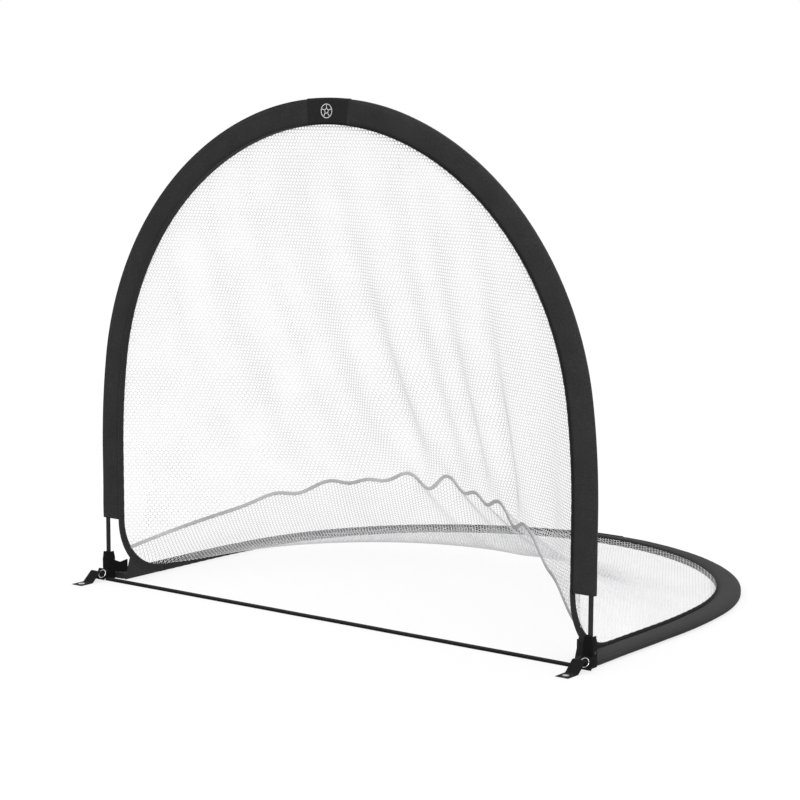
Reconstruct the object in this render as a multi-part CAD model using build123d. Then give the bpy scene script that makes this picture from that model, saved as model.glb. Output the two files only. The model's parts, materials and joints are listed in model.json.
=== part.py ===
from build123d import *
from math import asin, cos, degrees, radians, sin
import os

# Pop-up sports goal: a D-shaped front arch stands on a D-shaped ground arch, and a loose net hangs between
# them. Millimetres, +X to the right seen from the front, +Y into the goal, +Z up. The origin is on the ground
# at the middle of the goal-line strap. Every shape is drawn with the front arch in the plane y = 0, and is
# moved back to its place behind the strap as it is written. The front arch folds back onto the ground arch.

# Overall size
WIDTH = 2470.0
HEIGHT = 2015.0
DEPTH = 2030.0
ARCH_SETBACK = 30.0

# Outline of both arches: a crown arc, two shoulder arcs, two leg arcs and two straight legs, all tangent
HALF_SPAN = 1220.0
CROWN_RADIUS = 1128.0
CROWN_ANGLE = 18.5
SHOULDER_RADIUS = 1240.0
SHOULDER_ANGLE = 82.0

# Padded sleeve and what is sewn to it
SLEEVE_WIDTH = 97.0
SLEEVE_THICKNESS = 26.0
SLEEVE_ROUNDING = 8.0
SLEEVE_END_HEIGHT = 262.0
BINDING_WIDTH = 35.0
BINDING_THICKNESS = 2.5
PATCH_THICKNESS = 1.2
PATCH_HALF_LENGTH = 95.0
PATCH_REACH = 85.0
CORNER_RADIUS = 244.0
GUSSET_THICKNESS = 2.0
GUSSET_HEIGHT = 98.0
GUSSET_GAP = 0.2
GUSSET_LEAN = 30.0

# Jointed fibreglass poles
POLE_INSET = 20.0
POLE_RADIUS = 9.0
POLE_BORE_RADIUS = 7.0
POLE_CHANNEL_RADIUS = 9.4
FERRULE_RADIUS = 6.9
FERRULE_HALF_LENGTH = 50.0
PLUG_LENGTH = 40.0
PLUG_HEAD_THICKNESS = 4.0
GROUND_POLE_END = -8.0

# Fold hinge in the two corner boots
HINGE_HEIGHT = 56.0
HINGE_PIN_RADIUS = 3.0
HINGE_HOLE_RADIUS = 3.05
HINGE_EYE_RADIUS = 10.0
HINGE_EYE_THICKNESS = 22.0
HINGE_NECK = 16.0
RIVET_HEAD_RADIUS = 7.0
RIVET_HEAD_THICKNESS = 2.0
RIVET_HEAD_ROOM = 1.0

# Corner boot, a stiff webbing pocket
BOOT_DEPTH = 34.0
BOOT_HEIGHT = 118.0
BOOT_SLOT_HALF_WIDTH = 14.0
BOOT_SLOT_FLOOR = 40.0
BOOT_FRONT_WALL = 5.0
BOOT_INNER_WIDTH = 8.0
BOOT_OUTER_WIDTH = 6.0
BOOT_FLAP_THICKNESS = 8.0
BOOT_FLAP_TOP = 88.0
BOOT_FLAP_FOOT = 32.0
BOOT_FLAP_NOTCH = 74.0
BOOT_FLAP_REACH = 34.0
FLAP_TRIM = 30.0
BOOT_INNER_EDGE_HEIGHT = 92.0
FLOOR_GAP = 1.0
BOOT_SHOULDER_DROP = 34.0

# Goal-line strap, corner patch, steel ring and peg tab
STRAP_WIDTH = 26.0
STRAP_THICKNESS = 9.0
CORNER_PATCH_WIDTH = 56.0
CORNER_PATCH_LENGTH = 50.0
CORNER_PATCH_THICKNESS = 2.5
CORNER_PATCH_TILT = 32.0
CORNER_PATCH_FOOT = (-50.0, 2.5)
RING_RADIUS = 17.0
RING_WIRE_RADIUS = 2.0
RING_SHIFT = 6.0
TAB_WIDTH = 56.0
TAB_WAIST = 26.0
TAB_WAIST_LENGTH = 12.0
TAB_THICKNESS = 2.5
TAB_LENGTH = 150.0
TAB_START = (3.0, 1.5)
TAB_HUMP = (36.0, 20.0)
TAB_LANDING = 84.0
TAB_BEND_RADIUS = 12.0
TAB_HOLE_RADIUS = 8.0
TAB_HOLE_FROM_END = 28.0
EYELET_RADIUS = 13.0
EYELET_BORE_RADIUS = 6.5
EYELET_LIP = 0.8

# Hanging net: it leaves the bindings' free edges, and a seam joins its upper and lower panels
NET_THICKNESS = 3.0
NET_CLEARANCE = 3.5
NET_INSET = SLEEVE_WIDTH + 6.0
SEAM_END_HEIGHT = 135.0
SEAM_REACH_POWER = 2.4
SEAM_RISE_POWER = 2.05
SEAM_MIDDLE_Y = 690.0
SEAM_MIDDLE_Z = 455.0
SEAM_TAPE_WIDTH = 10.0
SEAM_GAP = 20.0
NET_DROP_POWER = 1.36
NET_FLOOR_POWER = 2.1
NET_FLOOR_HEIGHT = 5.0
NET_FLOOR_START = 0.72
NET_CORNER_POWER = 6
NET_GORES = 16
NET_END_SHARE = 0.97
SMALL = 1e-6

# Worked out from the sizes above
SIDES = {"left": -1, "right": 1}
BINDING_INSET = SLEEVE_WIDTH + BINDING_THICKNESS / 2
POLE_X = HALF_SPAN - POLE_INSET
SEAM_SLOPE = Vector(0, -0.5, 1)
GROUND_LEVEL = SLEEVE_THICKNESS / 2
BINDING_LEVEL = SLEEVE_END_HEIGHT - CORNER_RADIUS
TAB_LEVEL = TAB_THICKNESS / 2 + EYELET_LIP
LEG_RADIUS = (
    HALF_SPAN
    + (SHOULDER_RADIUS - CROWN_RADIUS) * sin(radians(CROWN_ANGLE))
    - SHOULDER_RADIUS * sin(radians(SHOULDER_ANGLE))
) / (1 - sin(radians(SHOULDER_ANGLE)))
CORNER_CENTRE_Y = CORNER_RADIUS
CORNER_CENTRE_Z = SLEEVE_END_HEIGHT
NET_CORNER_RADIUS = CORNER_RADIUS - BINDING_WIDTH / 2 - NET_CLEARANCE
NET_EDGE_OFFSET = BINDING_WIDTH / 2 + NET_CLEARANCE
NET_CORNER_X = HALF_SPAN - NET_INSET
BINDING_X = HALF_SPAN - BINDING_INSET


class Arch:
    """One D-shaped outline, drawn in its own plane with the crown at the top and the feet at height 0.
    A station runs from 0 at the crown through 1, 2 and 3, where the arcs meet, to 4 at the foot."""

    def __init__(self, rise, plane):
        self.plane = plane
        crown, shoulder = radians(CROWN_ANGLE), radians(SHOULDER_ANGLE)
        crown_centre = Vector(0, rise - CROWN_RADIUS)
        shoulder_centre = crown_centre + Vector(sin(crown), cos(crown)) * (CROWN_RADIUS - SHOULDER_RADIUS)
        leg_centre = shoulder_centre + Vector(sin(shoulder), cos(shoulder)) * (SHOULDER_RADIUS - LEG_RADIUS)
        self.arcs = [
            (crown_centre, CROWN_RADIUS, 0.0, crown),
            (shoulder_centre, SHOULDER_RADIUS, crown, shoulder),
            (leg_centre, LEG_RADIUS, shoulder, radians(90)),
        ]
        self.leg_top = leg_centre.Y

    def point(self, station, inset):
        """The point at a station, so far inside the outer outline."""
        if station >= 3:
            return Vector(HALF_SPAN - inset, self.leg_top * (4 - station))
        centre, radius, start, end = self.arcs[int(station)]
        turn = start + (end - start) * (station - int(station))
        return centre + Vector(sin(turn), cos(turn)) * (radius - inset)

    def leg_station(self, height):
        """The station on the straight leg at this height."""
        return 4 - height / self.leg_top

    def length(self, station, inset):
        """How far the station is from the crown, measured along the inset outline."""
        total = 0.0
        for index, (_, radius, start, end) in enumerate(self.arcs):
            total += (end - start) * (radius - inset) * max(0.0, min(1.0, station - index))
        return total + self.leg_top * max(0.0, station - 3)

    def station_at(self, length, inset):
        """The station that is so far from the crown."""
        for index, (_, radius, start, end) in enumerate(self.arcs):
            arc_length = (end - start) * (radius - inset)
            if length <= arc_length:
                return index + length / arc_length
            length -= arc_length
        return 3 + length / self.leg_top

    def half_edges(self, first, last, inset):
        """The right half's edges from one station to a later one."""
        stops = [first] + [s for s in (1, 2, 3) if first < s < last] + [last]
        edges = []
        for start, end in zip(stops, stops[1:]):
            ends = self.point(start, inset), self.point(end, inset)
            if start >= 3:
                edges.append(Line(*ends))
            else:
                edges.append(ThreePointArc(ends[0], self.point((start + end) / 2, inset), ends[1]))
        return edges

    def sweep_half(self, section, first, last, inset):
        """A section swept along the right half, from one station to a later one, in the arch's own plane."""
        path = Wire([edge.edges()[0] for edge in self.half_edges(first, last, inset)])
        start = self.point(first, inset)
        direction = path % 0
        outward = Vector(-direction.Y, direction.X)
        at_start = Plane(origin=start, x_dir=outward, z_dir=direction)
        return sweep(at_start * section, path=path)

    def place(self, shape):
        """The shape moved from the arch's own plane to the goal."""
        return self.plane.location * shape


FRONT = Arch(HEIGHT - PATCH_THICKNESS, Plane(origin=(0, 0, 0), x_dir=(1, 0, 0), z_dir=(0, -1, 0)))
GROUND = Arch(DEPTH - PATCH_THICKNESS, Plane(origin=(0, 0, GROUND_LEVEL), x_dir=(1, 0, 0), z_dir=(0, 0, 1)))
SEAM_TURN = asin((CORNER_CENTRE_Z - SEAM_END_HEIGHT) / NET_CORNER_RADIUS)


def mirrored(shape, side):
    """The right-hand shape, or its mirror image for the left side."""
    return shape if side > 0 else mirror(shape, about=Plane.YZ)


def both_halves(shape):
    """A right half joined to its mirror image at x = 0."""
    return shape + mirror(shape, about=Plane.YZ)


def save(name, shape):
    """Writes one node."""
    placed = Pos(0, ARCH_SETBACK, 0) * shape
    placed.label = name
    export_step(placed, f"parts/{name}.step")


# ---------------------------------------------------------------- poles


def pole_tube(arch, first, last):
    """One hollow pole section of the right half."""
    wall = Circle(POLE_RADIUS) - Circle(POLE_BORE_RADIUS)
    return arch.place(arch.sweep_half(wall, first, last, POLE_INSET))


def crown_pole(arch):
    """The middle pole section, which crosses the crown."""
    half = arch.sweep_half(Circle(POLE_RADIUS) - Circle(POLE_BORE_RADIUS), 0, 1, POLE_INSET)
    return arch.place(both_halves(half))


def ferrule(arch, station):
    """A spigot inside two pole sections, at the station where they meet."""
    middle = arch.length(station, POLE_INSET)
    first = arch.station_at(middle - FERRULE_HALF_LENGTH, POLE_INSET)
    last = arch.station_at(middle + FERRULE_HALF_LENGTH, POLE_INSET)
    return arch.place(arch.sweep_half(Circle(FERRULE_RADIUS), first, last, POLE_INSET))


def front_foot():
    """Plastic end fitting of the front pole: a spigot in the tube, a neck and an eye on the hinge pin."""
    centre = (POLE_X, 0, HINGE_HEIGHT)
    neck_top = HINGE_HEIGHT + HINGE_NECK
    eye = Pos(*centre) * Rot(0, 90, 0) * Cylinder(HINGE_EYE_RADIUS, HINGE_EYE_THICKNESS)
    neck = Pos(POLE_X, 0, HINGE_HEIGHT + HINGE_NECK / 2) * Box(HINGE_EYE_THICKNESS, 2 * POLE_RADIUS, HINGE_NECK)
    spigot = Pos(POLE_X, 0, neck_top + PLUG_LENGTH / 2) * Cylinder(FERRULE_RADIUS, PLUG_LENGTH)
    hole = Pos(*centre) * Rot(0, 90, 0) * Cylinder(HINGE_HOLE_RADIUS, 2 * HINGE_EYE_THICKNESS)
    return eye + neck + spigot - hole


def ground_plug():
    """Plastic end plug of the ground pole, inside the boot."""
    front = Pos(POLE_X, GROUND_POLE_END, GROUND_LEVEL) * Rot(90, 0, 0)
    head = front * Cylinder(POLE_RADIUS, PLUG_HEAD_THICKNESS, align=(Align.CENTER, Align.CENTER, Align.MIN))
    spigot = front * Cylinder(FERRULE_RADIUS, PLUG_LENGTH, align=(Align.CENTER, Align.CENTER, Align.MAX))
    return head + spigot


# ---------------------------------------------------------------- sleeves, bindings and patches


def sleeve(arch, foot_height):
    """The right half of a padded sleeve, with the pole's channel through it."""
    pad = RectangleRounded(SLEEVE_WIDTH, SLEEVE_THICKNESS, SLEEVE_ROUNDING)
    channel = Pos(SLEEVE_WIDTH / 2 - POLE_INSET, 0) * Circle(POLE_CHANNEL_RADIUS)
    last = arch.leg_station(foot_height)
    return arch.place(arch.sweep_half(pad - channel, 0, last, SLEEVE_WIDTH / 2))


def binding(arch, foot_height, shift):
    """The webbing along a sleeve's inner edge, from leg to leg."""
    strip = Pos(0, shift) * Rectangle(BINDING_THICKNESS, BINDING_WIDTH)
    return arch.place(both_halves(arch.sweep_half(strip, 0, arch.leg_station(foot_height), BINDING_INSET)))


def label_patch(arch, wraps_back):
    """A smooth fabric patch folded over the sleeve at its crown. It leaves the binding free."""
    band = RectangleRounded(
        SLEEVE_WIDTH + 2 * PATCH_THICKNESS,
        SLEEVE_THICKNESS + 2 * PATCH_THICKNESS,
        SLEEVE_ROUNDING + PATCH_THICKNESS,
    )
    inside = RectangleRounded(SLEEVE_WIDTH, SLEEVE_THICKNESS, SLEEVE_ROUNDING)
    open_edge = Pos(-PATCH_REACH, 0) * Rectangle(SLEEVE_WIDTH, 2 * SLEEVE_THICKNESS)
    section = band - inside - open_edge
    if not wraps_back:
        section -= Pos(0, -SLEEVE_THICKNESS) * Rectangle(2 * SLEEVE_WIDTH, 1.5 * SLEEVE_THICKNESS)
    last = arch.station_at(PATCH_HALF_LENGTH, SLEEVE_WIDTH / 2)
    return arch.place(both_halves(arch.sweep_half(section, 0, last, SLEEVE_WIDTH / 2)))


def side_sheet(profile, thickness, x):
    """A flat sheet standing in the YZ plane, its middle at x."""
    upright = Plane(origin=(x - thickness / 2, 0, 0), x_dir=(0, 1, 0), z_dir=(1, 0, 0))
    return extrude(upright * profile, amount=thickness)


def corner_binding():
    """The webbing's quarter turn from the front sleeve's end back to the ground sleeve."""
    half_width = BINDING_WIDTH / 2
    ring = Circle(CORNER_RADIUS + half_width) - Circle(CORNER_RADIUS - half_width)
    reach = 2 * CORNER_RADIUS
    quarter = Pos(-reach / 2, -reach / 2) * Rectangle(reach, reach)
    profile = Pos(CORNER_CENTRE_Y, CORNER_CENTRE_Z) * (ring & quarter)
    return side_sheet(profile, BINDING_THICKNESS, BINDING_X)


def gusset():
    """Sleeve fabric that fills the corner below the binding's turn."""
    back = BOOT_DEPTH / 2
    corner = make_face(
        Polyline(
            (back, FLOOR_GAP),
            (back + GUSSET_LEAN, GUSSET_HEIGHT),
            (CORNER_RADIUS, GUSSET_HEIGHT),
            (CORNER_RADIUS, FLOOR_GAP),
            close=True,
        )
    )
    turn = Pos(CORNER_CENTRE_Y, CORNER_CENTRE_Z) * Circle(CORNER_RADIUS + BINDING_WIDTH / 2 + GUSSET_GAP)
    return side_sheet(corner - turn, GUSSET_THICKNESS, BINDING_X)


# ---------------------------------------------------------------- corner boots, hinge and ground strap


def boot():
    """The corner pocket: two cheeks beside a slot for the front pole, and a hole for the ground pole."""
    slot_left, slot_right = POLE_X - BOOT_SLOT_HALF_WIDTH, POLE_X + BOOT_SLOT_HALF_WIDTH
    outer = slot_right + BOOT_OUTER_WIDTH
    inner = slot_left - BOOT_INNER_WIDTH
    outline = Polyline(
        (inner, 0),
        (outer, 0),
        (outer, BOOT_HEIGHT - BOOT_SHOULDER_DROP),
        (slot_right, BOOT_HEIGHT),
        (slot_left, BOOT_HEIGHT),
        (inner, BOOT_INNER_EDGE_HEIGHT),
        close=True,
    )
    front = Plane(origin=(0, BOOT_DEPTH / 2, 0), x_dir=(1, 0, 0), z_dir=(0, -1, 0))
    body = extrude(front * make_face(outline), amount=BOOT_DEPTH)
    slot_y = -BOOT_DEPTH / 2 + BOOT_FRONT_WALL
    slot = Pos(POLE_X, slot_y, BOOT_SLOT_FLOOR) * Box(
        2 * BOOT_SLOT_HALF_WIDTH, BOOT_DEPTH, BOOT_HEIGHT, align=(Align.CENTER, Align.MIN, Align.MIN)
    )
    pocket = Pos(POLE_X, slot_y, GROUND_LEVEL) * Rot(-90, 0, 0) * Cylinder(
        POLE_CHANNEL_RADIUS, BOOT_DEPTH, align=(Align.CENTER, Align.CENTER, Align.MIN)
    )
    pin_hole = Pos(POLE_X, 0, HINGE_HEIGHT) * Rot(0, 90, 0) * Cylinder(HINGE_PIN_RADIUS, WIDTH)
    flap_left = BINDING_X + BINDING_THICKNESS / 2
    lean = Vector(inner - flap_left, -BOOT_FLAP_REACH)
    flap_outline = Polyline(
        (0, BOOT_FLAP_FOOT),
        (0, BOOT_FLAP_TOP),
        (lean.length / 2, BOOT_FLAP_NOTCH),
        (lean.length, BOOT_INNER_EDGE_HEIGHT - BOOT_FLAP_THICKNESS),
        (lean.length, BOOT_FLAP_FOOT),
        close=True,
    )
    across = Vector(lean.Y, -lean.X).normalized()
    flap_end = Vector(flap_left, BOOT_FLAP_REACH) - across * (BOOT_FLAP_THICKNESS / 2)
    flap_face = Plane(origin=(flap_end.X, flap_end.Y, 0), x_dir=(lean.X, lean.Y, 0), z_dir=(across.X, across.Y, 0))
    flap = extrude(flap_face * make_face(flap_outline), amount=BOOT_FLAP_THICKNESS)
    flap -= Pos(flap_left, 0, 0) * Box(FLAP_TRIM, WIDTH, WIDTH, align=(Align.MAX, Align.CENTER, Align.CENTER))
    head_room = Pos(inner, 0, HINGE_HEIGHT) * Rot(0, 90, 0) * Cylinder(
        RIVET_HEAD_RADIUS + RIVET_HEAD_ROOM, 2 * RIVET_HEAD_THICKNESS
    )
    return body + flap - head_room - slot - pocket - pin_hole


def hinge_rivet():
    """The pin through the boot's cheeks and the front pole's eye, with a flat head at each end."""
    start = POLE_X - BOOT_SLOT_HALF_WIDTH - BOOT_INNER_WIDTH
    end = POLE_X + BOOT_SLOT_HALF_WIDTH + BOOT_OUTER_WIDTH + RIVET_HEAD_THICKNESS
    along = Pos(start, 0, HINGE_HEIGHT) * Rot(0, 90, 0)
    bottom = (Align.CENTER, Align.CENTER, Align.MIN)
    pin = along * Cylinder(HINGE_PIN_RADIUS, end - start, align=bottom)
    head = Cylinder(RIVET_HEAD_RADIUS, RIVET_HEAD_THICKNESS, align=bottom)
    far_head = along * Pos(0, 0, end - start - RIVET_HEAD_THICKNESS) * head
    return pin + along * head + far_head


def goal_line_strap():
    """Padded webbing along the ground between the two corner patches."""
    half = WIDTH / 2 - CORNER_PATCH_WIDTH
    return Pos(0, -ARCH_SETBACK, 0) * Box(
        2 * half, STRAP_WIDTH, STRAP_THICKNESS, align=(Align.CENTER, Align.CENTER, Align.MIN)
    )


def on_patch(shape):
    """Moves a shape from the corner patch's own plane (y up the patch, z out of it) to the right corner."""
    x = WIDTH / 2 - CORNER_PATCH_WIDTH / 2
    return Pos(x, *CORNER_PATCH_FOOT) * Rot(90 - CORNER_PATCH_TILT, 0, 0) * shape


def corner_patch():
    """A webbing square that leans from the ground up against the boot and holds the steel ring."""
    middle_low = (Align.CENTER, Align.MIN, Align.MAX)
    return on_patch(Box(CORNER_PATCH_WIDTH, CORNER_PATCH_LENGTH, CORNER_PATCH_THICKNESS, align=middle_low))


def ring_place():
    """The middle of the patch's face, a little nearer to the goal mouth."""
    return on_patch(Pos(-RING_SHIFT, CORNER_PATCH_LENGTH / 2, RING_WIRE_RADIUS))


def steel_ring():
    """Round steel ring that lies on the patch."""
    return ring_place() * Torus(RING_RADIUS, RING_WIRE_RADIUS)


def tab_profile(centre):
    """The peg tab's middle line seen from the side: out of the ring, over a hump and flat on the ground."""
    points = [
        (centre.Y - TAB_START[0], centre.Z + TAB_START[1]),
        (centre.Y - TAB_HUMP[0], centre.Z + TAB_HUMP[1]),
        (centre.Y - TAB_LANDING, TAB_LEVEL),
        (centre.Y - TAB_LENGTH, TAB_LEVEL),
    ]
    return FilletPolyline(*points, radius=TAB_BEND_RADIUS)


def peg_tab():
    """Webbing tab with a peg hole, on the right corner. It narrows where it goes through the ring."""
    centre = ring_place().position
    side = Plane(origin=(centre.X - TAB_WIDTH / 2, 0, 0), x_dir=(0, 1, 0), z_dir=(1, 0, 0))
    line = tab_profile(centre)
    strip = extrude(side * trace(line, TAB_THICKNESS), amount=TAB_WIDTH)
    for edge in (-1, 1):
        strip -= Pos(centre.X + edge * TAB_WIDTH / 2, centre.Y, centre.Z) * Box(
            TAB_WIDTH - TAB_WAIST, 2 * TAB_WAIST_LENGTH, 2 * TAB_WAIST_LENGTH
        )
    hole = Pos(centre.X, tab_hole_y(centre), 0) * Cylinder(TAB_HOLE_RADIUS, 4 * TAB_THICKNESS)
    return strip - hole


def tab_hole_y(centre):
    return centre.Y - TAB_LENGTH + TAB_HOLE_FROM_END


def peg_eyelet():
    """Metal eyelet crimped in the peg tab: a barrel between two lips."""
    centre = ring_place().position
    at = Pos(centre.X, tab_hole_y(centre), TAB_LEVEL)
    lip_offset = (TAB_THICKNESS + EYELET_LIP) / 2
    barrel = Cylinder(TAB_HOLE_RADIUS, TAB_THICKNESS + EYELET_LIP)
    lips = Pos(0, 0, lip_offset) * Cylinder(EYELET_RADIUS, EYELET_LIP)
    lips += Pos(0, 0, -lip_offset) * Cylinder(EYELET_RADIUS, EYELET_LIP)
    return at * (barrel + lips - Cylinder(EYELET_BORE_RADIUS, 4 * TAB_THICKNESS))


# ---------------------------------------------------------------- hanging net


def net_corner(turn):
    """A point of the net's edge on the quarter turn, counted from the front sleeve's end."""
    return Vector(
        NET_CORNER_X,
        CORNER_CENTRE_Y - NET_CORNER_RADIUS * cos(turn),
        CORNER_CENTRE_Z - NET_CORNER_RADIUS * sin(turn),
    )


def edge_point(arch, share, last_height, turn_from, turn_to):
    """The net's edge at a share of the way from an arch's crown to the seam's end, on the right side."""
    last = arch.leg_station(last_height)
    straight = arch.length(last, NET_INSET)
    turned = abs(turn_to - turn_from) * NET_CORNER_RADIUS
    along = share * (straight + turned)
    if along <= straight:
        return arch.point(arch.station_at(along, NET_INSET), NET_INSET)
    return net_corner(turn_from + (turn_to - turn_from) * (along - straight) / turned)


def front_edge(share):
    """The net's upper edge, just behind the front binding."""
    found = edge_point(FRONT, share, SLEEVE_END_HEIGHT, 0.0, SEAM_TURN)
    return found if found.Z else Vector(found.X, NET_EDGE_OFFSET, found.Y)


def ground_edge(share):
    """The net's lower edge, just above the ground binding."""
    found = edge_point(GROUND, share, CORNER_RADIUS, radians(90), SEAM_TURN)
    level = CORNER_CENTRE_Z - NET_CORNER_RADIUS
    return found if found.Z else Vector(found.X, found.Y, level)


def seam_point(share):
    """The seam between the two panels, from the middle of the net to the corner."""
    end = net_corner(SEAM_TURN)
    inward = cos(radians(90) * share)
    return Vector(
        end.X * sin(radians(90) * share),
        end.Y + (SEAM_MIDDLE_Y - end.Y) * inward**SEAM_REACH_POWER,
        end.Z + (SEAM_MIDDLE_Z - end.Z) * inward**SEAM_RISE_POWER,
    )


def upper_point(share, drop):
    """The upper panel: steep below the arch and flatter towards the seam, like a hanging chain."""
    top, seam = front_edge(share), seam_point(share) + SEAM_SLOPE * (SEAM_GAP / 2)
    out = drop**NET_DROP_POWER
    return Vector(
        top.X + (seam.X - top.X) * out,
        top.Y + (seam.Y - top.Y) * out,
        top.Z + (seam.Z - top.Z) * drop,
    )


def lower_point(share, run):
    """The lower panel: it sinks to the floor, lies there for a way and rises to the ground binding."""
    seam, edge = seam_point(share) - SEAM_SLOPE * (SEAM_GAP / 2), ground_edge(share)
    lands = NET_FLOOR_START + (1 - NET_FLOOR_START) * sin(radians(90) * share)
    sunk = max(0.0, 1 - run / lands) ** NET_FLOOR_POWER
    risen = max(0.0, (run - lands) / max(1 - lands, SMALL)) ** NET_FLOOR_POWER
    taut = seam + (edge - seam) * run
    slack = NET_FLOOR_HEIGHT + (seam.Z - NET_FLOOR_HEIGHT) * sunk + (edge.Z - NET_FLOOR_HEIGHT) * risen
    return Vector(taut.X, taut.Y, slack + (taut.Z - slack) * share**NET_CORNER_POWER)


def sheet_solid(rows, lift):
    """A thin closed sheet of flat facets through rows of points, thickened by the lift vector."""
    top = [[point + lift for point in row] for row in rows]
    faces = []

    def add(*corners):
        faces.append(Face(Wire.make_polygon(corners, close=True)))

    def wall(low, high):
        for index in range(len(low) - 1):
            add(low[index], low[index + 1], high[index + 1])
            add(low[index], high[index + 1], high[index])

    for sheet in (rows, top):
        for near, far in zip(sheet, sheet[1:]):
            for index in range(len(near) - 1):
                add(near[index], near[index + 1], far[index + 1])
                add(near[index], far[index + 1], far[index])
    wall(rows[0], top[0])
    wall(rows[-1], top[-1])
    wall([row[0] for row in rows], [row[0] for row in top])
    wall([row[-1] for row in rows], [row[-1] for row in top])
    return Solid(Shell(faces))


def net_columns():
    """Shares of the way from the middle of the net to each corner, from the left corner to the right."""
    return [NET_END_SHARE * (2 * index / NET_GORES - 1) for index in range(NET_GORES + 1)]


def net_panel(point_of, steps, lift):
    """A net panel between the left and right corners, through the given steps from edge to edge."""
    rows = []
    for step in steps:
        row = []
        for share in net_columns():
            found = point_of(abs(share), step)
            row.append(Vector(found.X if share >= 0 else -found.X, found.Y, found.Z))
        rows.append(row)
    return sheet_solid(rows, lift)


def seam_strip_point(share, across):
    """A point of the seam tape, a little above or below the seam line."""
    return seam_point(share) + SEAM_SLOPE * (SEAM_TAPE_WIDTH / 2 * across)


def build():
    os.makedirs("parts", exist_ok=True)
    front_foot_height = HINGE_HEIGHT + HINGE_NECK
    for name, arch, foot_height in (("front", FRONT, front_foot_height), ("ground", GROUND, GROUND_POLE_END)):
        save(f"{name}_pole_crown", crown_pole(arch))
        stretches = {
            "upper_shoulder": (1, 1.5),
            "lower_shoulder": (1.5, 2),
            "leg": (2, arch.leg_station(foot_height)),
        }
        joints = [ferrule(arch, station) for station in (1, 1.5, 2)]
        save(f"{name}_pole_ferrules", Compound(joints + [mirrored(joint, -1) for joint in joints]))
        for stretch, (first, last) in stretches.items():
            tube = pole_tube(arch, first, last)
            for side_name, side in SIDES.items():
                save(f"{name}_pole_{stretch}_{side_name}", mirrored(tube, side))

    right_hand = {
        "front_sleeve": sleeve(FRONT, SLEEVE_END_HEIGHT),
        "ground_sleeve": sleeve(GROUND, BOOT_DEPTH / 2 + FLOOR_GAP),
        "corner_binding": corner_binding(),
        "corner_gusset": gusset(),
        "corner_boot": boot(),
        "hinge_rivet": hinge_rivet(),
        "front_pole_foot": front_foot(),
        "ground_pole_plug": ground_plug(),
        "corner_patch": corner_patch(),
        "steel_ring": steel_ring(),
        "peg_tab": peg_tab(),
        "peg_eyelet": peg_eyelet(),
    }
    for name, shape in right_hand.items():
        for side_name, side in SIDES.items():
            save(f"{name}_{side_name}", mirrored(shape, side))

    save("front_binding", binding(FRONT, SLEEVE_END_HEIGHT, 0.0))
    save("ground_binding", binding(GROUND, CORNER_RADIUS, BINDING_LEVEL - GROUND_LEVEL))
    save("front_label_patch", label_patch(FRONT, True))
    save("ground_label_patch", label_patch(GROUND, False))
    save("goal_line_strap", goal_line_strap())
    back = Vector(0, NET_THICKNESS, 0)
    up = Vector(0, 0, NET_THICKNESS)
    save("upper_net", net_panel(upper_point, (0.0, 0.25, 0.5, 0.75, 1.0), back))
    save("lower_net", net_panel(lower_point, (0.0, 0.2, 0.45, NET_FLOOR_START, 1.0), up))
    save("seam_tape", net_panel(seam_strip_point, (1, -1), back))


build()
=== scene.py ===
import json
import math
import bmesh
import bpy
import numpy as np
from mathutils import Matrix, Vector, noise
from mathutils.bvhtree import BVHTree

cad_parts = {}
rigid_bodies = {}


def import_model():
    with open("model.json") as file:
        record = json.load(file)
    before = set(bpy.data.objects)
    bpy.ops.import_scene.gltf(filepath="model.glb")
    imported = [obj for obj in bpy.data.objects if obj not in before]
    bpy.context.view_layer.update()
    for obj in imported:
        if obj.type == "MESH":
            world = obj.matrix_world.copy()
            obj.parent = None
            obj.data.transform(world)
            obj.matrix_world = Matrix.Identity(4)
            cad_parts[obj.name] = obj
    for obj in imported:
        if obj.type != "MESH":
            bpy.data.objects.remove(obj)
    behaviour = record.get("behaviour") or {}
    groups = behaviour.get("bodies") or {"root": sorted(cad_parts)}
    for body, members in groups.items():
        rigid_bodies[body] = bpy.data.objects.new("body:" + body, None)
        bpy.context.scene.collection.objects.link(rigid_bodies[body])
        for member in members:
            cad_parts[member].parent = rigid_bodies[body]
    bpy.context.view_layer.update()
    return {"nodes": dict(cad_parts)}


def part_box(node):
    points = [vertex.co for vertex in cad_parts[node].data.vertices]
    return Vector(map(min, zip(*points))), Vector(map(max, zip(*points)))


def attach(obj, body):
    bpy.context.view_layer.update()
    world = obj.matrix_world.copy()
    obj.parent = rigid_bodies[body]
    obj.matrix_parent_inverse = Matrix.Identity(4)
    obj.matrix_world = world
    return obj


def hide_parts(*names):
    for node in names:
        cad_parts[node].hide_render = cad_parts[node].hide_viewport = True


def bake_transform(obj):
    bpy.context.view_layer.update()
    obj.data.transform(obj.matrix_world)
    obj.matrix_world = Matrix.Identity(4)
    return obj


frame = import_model()

# The looks of a pop-up goal, in metres, in the frame's own axes: +X right, +Y into the goal, +Z up.

# ---------------------------------------------------------------- sizes taken from the frame


def low(node):
    return Vector(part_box(node)[0])


def high(node):
    return Vector(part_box(node)[1])


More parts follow.
